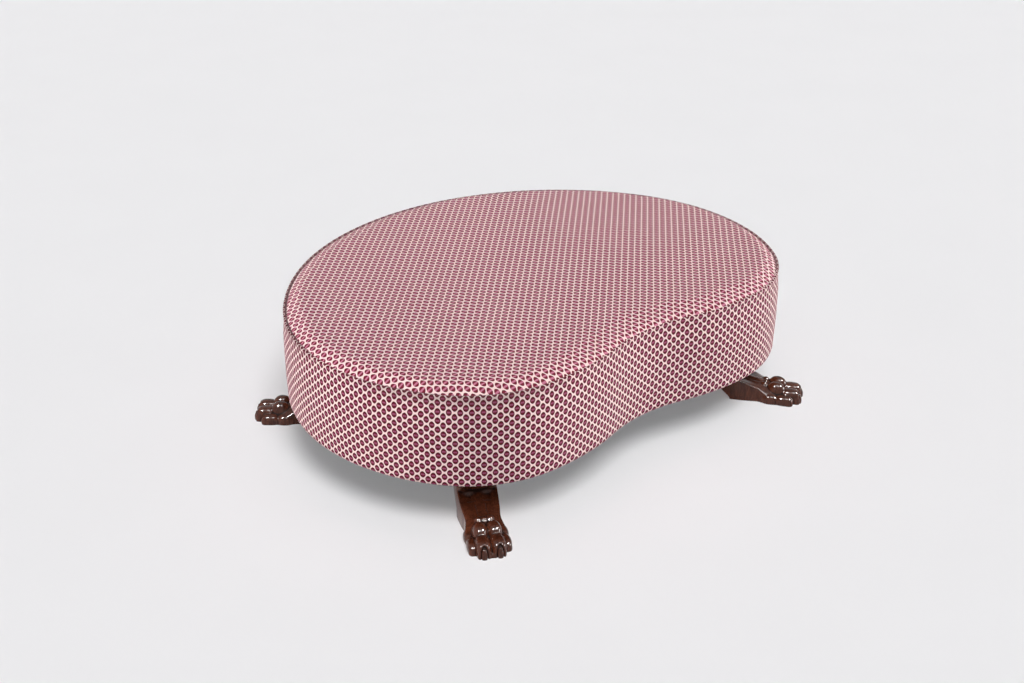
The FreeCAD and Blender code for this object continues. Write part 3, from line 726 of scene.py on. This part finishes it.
class OTTOMAN_OT_border(bpy.types.Operator):
    """Makes the border cover, rolled over the top edge at the seam and under the base"""
    bl_idname = "ottoman.border"
    bl_label = "Border cover"

    def execute(self, context):
        outline, cloth = context.scene.ottoman_outline, context.scene.ottoman_cloth
        arcs = outline_arcs(outline)
        seam, under = outline.seam_level, outline.underside
        # From the edge tucked into the seam, over the fold and down the face, to the hem under the base
        bm = profile(outline,
                     (8.6 * MM, seam - 7.0 * MM, 0, 0),
                     (8.0 * MM, seam + 0.2 * MM, 1.6 * MM, 4),
                     (2.6 * MM, seam + 0.4 * MM, 3.0 * MM, 6),
                     (4.3 * MM, seam - 15.0 * MM, 6.0 * MM, 5),
                     (cloth.wall_swell, under, 11.0 * MM, 9),
                     (38.0 * MM, under, 0, 0))
        divide_long_edges(bm, 5.0 * MM)
        self.shape_face(bm, outline, cloth.wall_swell)
        measure_profile(bm, seam - 0.8 * MM)
        sweep_round(bm, arcs, cloth.step)
        self.cut_join(bm, arcs, -cloth.join)
        map_border(bm, arcs, -cloth.join)
        fade_shade(bm, arcs)
        self.make_uneven(bm, seam)
        piece = new_object("border_cover_cloth", bm)
        thicken(piece, cloth.thickness)
        # The border's cloth takes the darker, shaded dot and band colours: painted shade
        woven = dotted_cloth("dotted_cloth_border", cloth.ground, cloth.wall_repeat, cloth.wall_rise,
                             cloth.wall_dot_shaded, cloth.wall_band_shaded, WALL_BAND_REACH)
        finish_piece(piece, woven, "dotted_cloth", "border_cover")
        return {"FINISHED"}

    def shape_face(self, bm, outline, swell):
        """Swells the face between seam and hem, and stores how far the seam's fold is in shadow."""
        fold, fold_depth, face_inset = 5.8 * MM, 20 * MM, 7 * MM
        below_seam, belly_height, belly = 15 * MM, 40 * MM, 2.0 * MM
        seam, under = outline.seam_level, outline.underside
        middle, half = (seam + under) / 2, (seam - under) / 2 - 8 * MM
        shade = bm.verts.layers.float.new("seam_shade")
        for vert in bm.verts:
            inset, depth = vert.co.y + outline.hollow_place, seam - vert.co.z
            if inset > fold and depth < fold_depth:
                vert[shade] = clamped((inset - fold) / (1.2 * MM))
            else:
                vert[shade] = 0.32 * max(0.0, 1 - depth / (30 * MM))
            if inset < face_inset:
                rise = 1 - ((vert.co.z - middle) / half) ** 2
                vert.co.y -= swell * max(0.0, rise) + belly * clamped((depth - below_seam) / belly_height)

    def cut_join(self, bm, arcs, join):
        """Sinks a narrow stitched groove where the border's two ends meet."""
        reach, half_groove, fold, sink = 50 * MM, 0.9 * MM, 9 * MM, 1.3
        point, inward = point_round(arcs, join)
        along = Vector((-inward.y, inward.x, 0))
        for offset in (-1.4 * MM, -0.5 * MM, 0.5 * MM, 1.4 * MM):
            near = [face for face in bm.faces if (face.calc_center_median().xy - point.xy).length < reach]
            bmesh.ops.bisect_plane(bm, geom=with_corners(near), dist=ON_PLANE,
                                   plane_co=point + along * offset, plane_no=along)
        for vert in bm.verts:
            away = vert.co - point
            if away.xy.length < reach and abs(away.dot(along)) < half_groove and away.dot(inward) < fold:
                vert.co += inward * sink * MM
        bm.normal_update()

    def make_uneven(self, bm, seam):
        """Moves the cloth a little in and out, with small puckers just below the seam."""
        for vert in bm.verts:
            wave = ripple(vert.co, 9.0, 1.0) + ripple(vert.co, 33.0, 0.3)
            depth = (seam - vert.co.z) / (26 * MM)
            if 0 < depth < 1:
                wave += ripple(vert.co, 60.0, 0.4) * (1 - depth)
            vert.co += Vector((vert.normal.x, vert.normal.y, 0)) * wave


class OTTOMAN_OT_seat(bpy.types.Operator):
    """Makes the crowned seat cover, sewn down into the seam all round"""
    bl_idname = "ottoman.seat"
    bl_label = "Seat cover"

    def execute(self, context):
        outline, cloth = context.scene.ottoman_outline, context.scene.ottoman_cloth
        arcs = outline_arcs(outline)
        seam = outline.seam_level
        tucked, rim = seam - 3 * MM, 8.9 * MM
        roll = rolled_rows(rim, cloth.crown_roll, seam - 3.4 * MM, cloth.crown + 2.4 * MM, 14)
        bm = bmesh.new()
        open_line(bm, outline, [(rim, seam - 7.0 * MM), (rim, seam - 5.0 * MM), *roll])
        sweep_round(bm, arcs, cloth.step)
        self.fill_middle(bm, seam + cloth.crown - 4.0 * MM)
        laid = bm.loops.layers.uv.new("Cloth")
        for face in bm.faces:
            for loop in face.loops:
                loop[laid].uv = loop.vert.co.xy
        shade = bm.verts.layers.float.new("seam_shade")
        for vert in bm.verts:
            vert[shade] = clamped((seam + 0.2 * MM - vert.co.z) / (1.6 * MM))
            if vert.co.z > seam - 2 * MM:
                vert.co.z += ripple(vert.co, 6.0, 1.0)
        fade_shade(bm, arcs)
        piece = new_object("seat_cover_cloth", bm)
        press_out(piece, [vert.index for vert in piece.data.vertices if vert.co.z < tucked], 2.5 * MM)
        thicken(piece, cloth.thickness)
        woven = dotted_cloth("dotted_cloth_seat", cloth.ground, cloth.top_repeat, cloth.top_rise,
                             cloth.top_dot, cloth.top_band, TOP_BAND_REACH)
        finish_piece(piece, woven, "dotted_cloth", "top_cover")
        return {"FINISHED"}

    def fill_middle(self, bm, lowest):
        """Closes the opening inside the roll, and divides it into an even grid of faces."""
        pitch, shift = 12 * MM, 0.1 * MM
        for face in close_opening(bm, lowest):
            face.tag = True
        for axis, reach in ((0, 0.6), (1, 0.5)):
            cuts = int(reach / pitch)
            for cut in range(-cuts, cuts + 1):
                place, way = Vector(), Vector()
                place[axis], way[axis] = cut * pitch + shift, 1.0
                middle = [face for face in bm.faces if face.tag]
                divided = bmesh.ops.bisect_plane(bm, geom=with_corners(middle), dist=SAME_PLACE,
                                                 plane_co=place, plane_no=way)["geom"]
                for item in divided:
                    if isinstance(item, bmesh.types.BMFace):
                        item.tag = True


class OTTOMAN_OT_paddings(bpy.types.Operator):
    """Makes the seat's padding, the border's padding and the hessian under the seat"""
    bl_idname = "ottoman.paddings"
    bl_label = "Paddings"

    def execute(self, context):
        outline, cloth = context.scene.ottoman_outline, context.scene.ottoman_cloth
        arcs = outline_arcs(outline)
        low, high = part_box("hessian")
        self.pad_border(outline, cloth, arcs)
        self.pad_seat(outline, cloth, arcs, high.z + 0.3 * MM)
        self.stretch_hessian(outline, cloth, arcs, low.z, high.z)
        return {"FINISHED"}

    def pad_border(self, outline, cloth, arcs):
        """A flat upright pad behind the border's cloth, swollen like it."""
        seam, under = outline.seam_level, outline.underside
        face, back, corner, swell = 6.4 * MM, 10.4 * MM, 2.4 * MM, 2.2 * MM
        top, bottom = seam - 26 * MM, under + 16 * MM
        bm = profile(outline, (back, bottom, 0, 0), (face, bottom, corner, 3), (face, top, corner, 3),
                     (back, top, 0, 0))
        bm.edges.new([vert for vert in bm.verts if len(vert.link_edges) == 1])
        divide_long_edges(bm, 20 * MM)
        middle, half = (seam + under) / 2, (seam - under) / 2
        for vert in bm.verts:
            if vert.co.y + outline.hollow_place < back - MM:
                vert.co.y -= swell * max(0.0, 1 - ((vert.co.z - middle) / half) ** 2)
        sweep_round(bm, arcs, 2 * cloth.step)
        ring = new_object("border_padding_fibre", bm)
        fibre = soft_filling("wadding_white", (0.85, 0.85, 0.82), 180.0)
        finish_piece(ring, fibre, "wadding", "border_padding")

    def pad_seat(self, outline, cloth, arcs, floor):
        """The seat's padding, from the hessian up to just under the cover."""
        seam, edge, margin = outline.seam_level, 14.5 * MM, 0.1 * MM
        rows = [(17 * MM, floor), (edge, floor + 8 * MM), (edge, seam - 12 * MM),
                *rolled_rows(15 * MM, cloth.crown_roll, seam - 7.0 * MM, cloth.crown + 3.4 * MM, 6)]
        bm = bmesh.new()
        open_line(bm, outline, rows)
        sweep_round(bm, arcs, 2 * cloth.step)
        for level in (floor, rows[-1][1]):
            close_opening(bm, level - margin, level + margin)
        bmesh.ops.recalc_face_normals(bm, faces=bm.faces)
        pad = new_object("seat_padding_foam", bm)
        foam = soft_filling("seat_foam_cream", (0.80, 0.72, 0.50), 400.0)
        finish_piece(pad, foam, "seat_foam", "seat_pad", "pad_wadding")

    def stretch_hessian(self, outline, cloth, arcs, low, high):
        """The hessian that carries the padding, over the webbing."""
        edge = 13.75 * MM
        bm = bmesh.new()
        bm.verts.new((0, edge - outline.hollow_place, high))
        sweep_round(bm, arcs, 2 * cloth.step)
        bmesh.ops.contextual_create(bm, geom=bm.edges[:])
        bmesh.ops.recalc_face_normals(bm, faces=bm.faces)
        sheet = new_object("hessian_cloth", bm)
        thicken(sheet, high - low)
        jute = woven_fibre("hessian_weave", (0.40, 0.28, 0.15), (0.14, 0.09, 0.045), 500)
        finish_piece(sheet, jute, "hessian", "hessian")


# Paws, in millimetres: s is the distance in from the toe tips, w the distance across, z the height.
# Lumps on one side or the middle: s, w, z, half-sizes along the same three, and how square they are
LUMPS = (
    (29, 15.4, 12, (25, 16.0, 21.5), 2.6),
    (15, 15.4, 6, (13, 14.6, 15.5), 2.5),
    (42, 33.0, 8, (22, 12.8, 14.5), 2.4),
    (31, 34.0, 4, (12, 10.8, 12), 2.4),
    (63, 14.6, 22, (22, 15.8, 23.5), 2.2),
    (75, 34.0, 8, (20, 12.6, 15), 2.2),
    (91, 12.5, 33, (8.5, 8.0, 9.5), 2.0),
    (90, 0, 34, (7, 6, 8), 2.0),
    (36, 0, 2, (30, 24, 9), 5.0),
)
# The foot's half-width, and the heights of its side ridges, its middle and the hollows between, by s
HALF_WIDTHS = ((30, 34), (60, 42), (80, 42), (102, 37), (125, 39.5), (150, 41.5), (170, 42))
RIDGE_HEIGHTS = ((30, 4), (58, 11), (80, 19), (95, 27), (107, 34), (130, 44), (150, 54), (166, 66))
MIDDLE_HEIGHTS = ((30, 10), (60, 28), (84, 36), (100, 41), (120, 44.5), (140, 50), (152, 56), (166, 64))
HOLLOWS = ((92, 0), (112, 1.6), (145, 4.0), (158, 3))
FOOT_START, FOOT_END, FOOT_BOTTOM = 30.0, 168.0, -5
# Sections of the shank: height, front and back as s, half-width
SHANK = ((-5, 118, 164, 41.5), (25, 134, 196, 42.3), (50, 152, 213, 43), (62, 157.5, 219, 43),
         (70, 155, 223, 43), (84, 153.5, 226, 43), (102, 154.5, 228, 42.5), (118.5, 156, 228, 42))
# Claws: half-width, height of the shoulders, height of the top, width of the groove
FRONT_CLAW = (7.2, 11.0, 26.5, 3.6)
SIDE_CLAW = (4.2, 6.0, 14.5, 3.0)
# The middle of a front toe across, and the place and heading of a side toe
FRONT_TOE_W = 16.2
SIDE_TOE_S, SIDE_TOE_W = 35.0, 35.5
SIDE_TOE_WAY = Vector((math.cos(0.75), math.sin(0.75)))


class OTTOMAN_OT_paws(bpy.types.Operator):
    """Makes the four carved paw legs"""
    bl_idname = "ottoman.paws"
    bl_label = "Paw legs"

    def execute(self, context):
        outline, wood = context.scene.ottoman_outline, context.scene.ottoman_wood
        arcs = outline_arcs(outline)
        corner, back = arcs[2], arcs[4]
        master = self.carve(wood)
        polish = mahogany(wood)
        tip = Matrix.Translation((wood.reach, 0, 0))
        for end, arc, angle, setback, left_twist in (
                ("front", corner, -wood.front_angle, wood.setback, wood.front_left_twist),
                ("back", back, wood.back_angle, 0.0, 0.0)):
            out = Vector((math.cos(angle), math.sin(angle), 0))
            place = arc.centre.to_3d() + out * (arc.radius - setback)
            mirrored = Vector((-place.x, place.y, place.z))
            for side, stand, heading, twist in (("right", place, angle, 0.0),
                                                ("left", mirrored, math.pi - angle, left_twist)):
                mesh = master.copy()
                mesh.name = "paw_" + end + "_" + side
                mesh.transform(Matrix.Translation(stand) @ Matrix.Rotation(heading, 4, "Z")
                               @ tip @ Matrix.Rotation(twist, 4, "Z") @ tip.inverted())
                paw = bpy.data.objects.new(mesh.name, mesh)
                context.scene.collection.objects.link(paw)
                finish_piece(paw, polish, "mahogany", "leg_" + end + "_" + side)
        bpy.data.meshes.remove(master)
        return {"FINISHED"}

    def at(self, wood, s, w, z):
        """A place on a paw that points along X, with X zero under the border's face."""
        return Vector((wood.reach - s * MM, w * MM, z * MM))

    def carve(self, wood):
        """The mesh of one paw."""
        bm = bmesh.new()
        self.toes(bm, wood)
        self.foot(bm, wood)
        self.shank(bm, wood)
        mesh = self.even_cells(bm, wood.grain * (1))
        bm = bmesh.new()
        bm.from_mesh(mesh)
        recess = bm.verts.layers.float.new("recess")
        smooth_over(bm, 0.5, 3)
        bm.normal_update()
        self.cut_details(bm, wood, recess)
        smooth_over(bm, 0.4)
        self.mark_recesses(bm, recess)
        for level, way in ((0.0, -1), (wood.top_level, 1)):
            bmesh.ops.bisect_plane(bm, geom=bm.verts[:] + bm.edges[:] + bm.faces[:], dist=ON_PLANE,
                                   plane_co=(0, 0, level), plane_no=(0, 0, way), clear_outer=True)
            close_opening(bm)
        for face in bm.faces:
            face.smooth = len(face.verts) < 5
        bm.to_mesh(mesh)
        bm.free()
        return mesh

    def even_cells(self, bm, size):
        """A mesh of one skin round all the lumps, in even cells."""
        blank = new_object("paw_blank", bm)
        remesh = blank.modifiers.new("even_cells", "REMESH")
        remesh.mode = "VOXEL"
        remesh.voxel_size = size
        mesh = bpy.data.meshes.new_from_object(blank.evaluated_get(bpy.context.evaluated_depsgraph_get()))
        bpy.data.objects.remove(blank)
        return mesh

    def toes(self, bm, wood):
        """The toes, knuckles and the pad under them, as rounded lumps."""
        for s, w, z, halves, square in LUMPS:
            for side in ((1, -1) if w else (1,)):
                ball = bmesh.ops.create_uvsphere(bm, u_segments=48, v_segments=32, radius=1.0)["verts"]
                for vert in ball:
                    swell = sum(abs(part) ** square for part in vert.co) ** (-1 / square)
                    vert.co = self.at(wood, s, side * w, z) + swell * MM * vert.co * Vector(halves)

    def foot(self, bm, wood):
        """The foot between toes and shank: two side ridges and a hollow on each side of the middle."""
        rows, columns, edge_power, skirt_width = 56, 40, 2.6, 1.04
        spine_height, spine_width, spine_start = 0.8, 6.5, 96
        made = bmesh.ops.create_grid(bm, x_segments=rows, y_segments=columns, size=0.5)["verts"]
        faces = {face for vert in made for face in vert.link_faces}
        for vert in made:
            s, outwards = FOOT_START + (FOOT_END - FOOT_START) * (0.5 - vert.co.x), vert.co.y * 2
            w = follow(HALF_WIDTHS, s) * outwards
            edge = abs(outwards) ** edge_power
            z = follow(MIDDLE_HEIGHTS, s) * (1 - edge) + follow(RIDGE_HEIGHTS, s) * edge
            z -= follow(HOLLOWS, s) * math.sin(math.pi * min(1.0, abs(outwards) * 1.06)) ** 2
            z += spine_height * math.exp(-(w / spine_width) ** 2) * clamped((s - spine_start) / 12)
            vert.co = self.at(wood, s, w, z)
        skirt = bmesh.ops.extrude_face_region(bm, geom=list(faces))["geom"]
        for item in skirt:
            if isinstance(item, bmesh.types.BMVert):
                item.co.y *= skirt_width
                item.co.z = FOOT_BOTTOM * MM
        bmesh.ops.recalc_face_normals(bm, faces=list({face for vert in made for face in vert.link_faces}))

    def shank(self, bm, wood):
        """The shank, through level sections with well-rounded corners in front and sharper ones behind."""
        round_power, sharp_power = 0.42, 0.26
        loops = []
        for z, front, back, half in SHANK:
            middle, reach = (front + back) / 2, (back - front) / 2
            ring = bmesh.ops.create_circle(bm, segments=64, radius=1.0, cap_ends=False)["verts"]
            for vert in ring:
                angle = math.atan2(vert.co.y, vert.co.x)
                power = round_power if vert.co.x > 0 else sharp_power
                across = math.copysign(abs(math.sin(angle)) ** power, math.sin(angle))
                along = math.copysign(abs(math.cos(angle)) ** power, math.cos(angle))
                vert.co = self.at(wood, middle - reach * along, half * across, z)
            loops.append(list({edge for vert in ring for edge in vert.link_edges}))
        for one, two in zip(loops, loops[1:]):
            bmesh.ops.bridge_loops(bm, edges=one + two)
        for loop in (loops[0], loops[-1]):
            bmesh.ops.contextual_create(bm, geom=loop)

    def cut_details(self, bm, wood, recess):
        """Cuts claws, creases and the edge of the shank's hollow, and stores how deep each vertex was cut."""
        for vert in bm.verts:
            s, side, z = (wood.reach - vert.co.x) / MM, abs(vert.co.y / MM), vert.co.z / MM
            depth, rise = self.claws(s, side, z, vert.normal)
            depth += self.hollow_edge(s, side, z, vert.normal)
            depth += self.crease(s, side, vert.normal)
            vert[recess] = depth
            vert.co -= vert.normal * (depth - rise) * MM
        bm.normal_update()

    def claws(self, s, side, z, normal):
        """Depth of the grooves and rise of the ribs of the front and side toes' claws."""
        front_end, side_start, side_end, side_inside = 34, 16, 54, 26
        depth = rise = 0.0
        if s < front_end and normal.x > -0.2:
            depth, rise = self.claw(side - FRONT_TOE_W, z, *FRONT_CLAW)
            depth *= clamped((normal.x + 0.1) / 0.4)
        elif side_start < s < side_end and side > side_inside:
            beside = (side - SIDE_TOE_W) * SIDE_TOE_WAY.x - (SIDE_TOE_S - s) * SIDE_TOE_WAY.y
            facing = normal.x * SIDE_TOE_WAY.x + abs(normal.y) * SIDE_TOE_WAY.y
            if facing > 0.1:
                depth, rise = self.claw(beside, z, *SIDE_CLAW)
                depth *= clamped((facing - 0.1) / 0.4)
        return depth, rise

    def claw(self, across, z, half, shoulder, top, groove):
        """Depth of a claw's groove and rise of its rib, at a place across and a height."""
        deepest, rib, rib_share = 4.0, 1.0, 0.7
        above = max(0.0, z - shoulder) / (top - shoulder)
        out = math.hypot(across / half, above)
        off = abs(out - 1) * half / (groove / 2)
        depth = deepest * max(0.0, 1 - off * off) if off < 1 else 0.0
        rise = rib * max(0.0, 1 - (out / rib_share) ** 2) if out < rib_share else 0.0
        return depth, rise

    def hollow_edge(self, s, side, z, normal):
        """Depth below the curved edge where the front of the shank is hollowed."""
        deepest, half_width, start, level, rise_to_sides, above = 2.6, 40, 140, 65.0, 7.0, 2
        edge = z - (level + rise_to_sides * (side / 38) ** 2)
        if s <= start or normal.x <= 0.2 or side >= half_width or edge >= above:
            return 0.0
        return (deepest * min(1.0, (above - edge) / 3) * math.exp(min(0.0, edge) / 13)
                * (1 - (side / half_width) ** 4))

    def crease(self, s, side, normal):
        """Depth of the long creases on top of the foot."""
        deepest, place, half_width, start, end, widest = 0.9, 10.5, 2.2, 94, 142, 30
        if not start < s < end or side >= widest or normal.z <= 0.2:
            return 0.0
        fade = min(1.0, (s - start) / 12, (end - s) / 20)
        return deepest * fade * math.exp(-((side - place) / half_width) ** 2)

    def mark_recesses(self, bm, recess):
        """Stores how hollow each place is, for the painted shade there and the duller polish."""
        full_hollow, least_hollow, least_cut, full_cut, highest_cut = 0.4 * MM, 0.25, 0.8, 1.8, 30 * MM
        wide = bm.copy()
        smooth_over(wide, 0.5, 14)
        for vert, smoothed in zip(bm.verts, wide.verts):
            hollow = (smoothed.co - vert.co).dot(vert.normal) / full_hollow
            cut = vert[recess] if vert.co.z < highest_cut else 0.0
            vert[recess] = min(1.0, max(0.0, hollow - least_hollow) + max(0.0, cut - least_cut) / full_cut)
        wide.free()


class OTTOMAN_OT_underside(bpy.types.Operator):
    """Makes the black cloth under the base and the staples that hold it"""
    bl_idname = "ottoman.underside"
    bl_label = "Underside"

    def execute(self, context):
        bm = bmesh.new()
        bm.from_mesh(frame["nodes"]["dust_cover"].data)
        bmesh.ops.remove_doubles(bm, verts=bm.verts, dist=SAME_PLACE)
        bmesh.ops.dissolve_limit(bm, angle_limit=math.radians(0.5), verts=bm.verts, edges=bm.edges)
        sheet = new_object("dust_cover_cloth", bm, smooth=False)
        lining = woven_fibre("black_lining", (0.022, 0.022, 0.025), (0.006, 0.006, 0.007), 900)
        finish_piece(sheet, lining, "black_cloth", "dust_cover")
        self.staple(outline_arcs(context.scene.ottoman_outline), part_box("dust_cover")[0].z)
        return {"FINISHED"}

    def staple(self, arcs, level):
        """A row of staples round the cloth, sunk a little into it from below."""
        count, inset, drop, corner = 76, 23 * MM, 0.2 * MM, 0.12 * MM
        size = Matrix.Diagonal((10 * MM, 1.1 * MM, 0.5 * MM, 1))
        whole = whole_round(arcs)
        bm = bmesh.new()
        for number in range(count):
            point, inward = point_round(arcs, -whole / 2 + whole * (number + 0.5) / count, inset)
            along = Vector((-inward.y, inward.x, 0))
            turned = Matrix((along, inward, (0, 0, 1))).transposed().to_4x4()
            place = Matrix.Translation(point + Vector((0, 0, level - drop)))
            bmesh.ops.create_cube(bm, size=1.0, matrix=place @ turned @ size)
        bmesh.ops.bevel(bm, geom=bm.edges[:], offset=corner, offset_type="OFFSET", segments=1, profile=0.5,
                        affect="EDGES", material=-1)
        bmesh.ops.recalc_face_normals(bm, faces=bm.faces)
        finish_piece(new_object("dust_cover_staples", bm, smooth=False), plated_steel(), "zinc_steel")


class OTTOMAN_OT_carcase(bpy.types.Operator):
    """Gives the wooden carcase, the webbing and the leg bolts their finishes"""
    bl_idname = "ottoman.carcase"
    bl_label = "Carcase"

    def execute(self, context):
        finishes = {
            "beech": plain_wood("beech_planed", (0.56, 0.36, 0.20), (0.36, 0.20, 0.10), 40.0, 2),
            "plywood": plain_wood("plywood_sanded", (0.58, 0.40, 0.23), (0.42, 0.26, 0.14), 25.0, 0),
            "jute_webbing": woven_fibre("jute_webbing", (0.42, 0.29, 0.15), (0.16, 0.10, 0.05), 420),
            "zinc_steel": plated_steel(),
        }
        for row in frame["record"]["subparts"]:
            if row["material_slot"] in finishes:
                give(frame["nodes"][row["node"]], finishes[row["material_slot"]])
        return {"FINISHED"}


class OTTOMAN_PT_panel(bpy.types.Panel):
    """Lists the ottoman's pieces"""
    bl_idname = "OTTOMAN_PT_panel"
    bl_label = "Ottoman"
    bl_space_type = "VIEW_3D"
    bl_region_type = "UI"
    bl_category = "Ottoman"

    def draw(self, context):
        for name in STEPS:
            self.layout.operator("ottoman." + name)


STEPS = ("stage", "carcase", "paddings", "underside", "border", "seat", "paws")
GROUPS = {"ottoman_outline": OttomanOutline, "ottoman_cloth": OttomanCloth, "ottoman_wood": OttomanWood}
CLASSES = (*GROUPS.values(), OTTOMAN_OT_stage, OTTOMAN_OT_carcase, OTTOMAN_OT_paddings, OTTOMAN_OT_underside,
           OTTOMAN_OT_border, OTTOMAN_OT_seat, OTTOMAN_OT_paws, OTTOMAN_PT_panel)


def register():
    for item in CLASSES:
        bpy.utils.register_class(item)
    for name, group in GROUPS.items():
        setattr(bpy.types.Scene, name, bpy.props.PointerProperty(type=group))


def unregister():
    for name in GROUPS:
        delattr(bpy.types.Scene, name)
    for item in reversed(CLASSES):
        bpy.utils.unregister_class(item)


def main():
    register()
    for name in STEPS:
        getattr(bpy.ops.ottoman, name)()


if __name__ == "__main__":
    main()
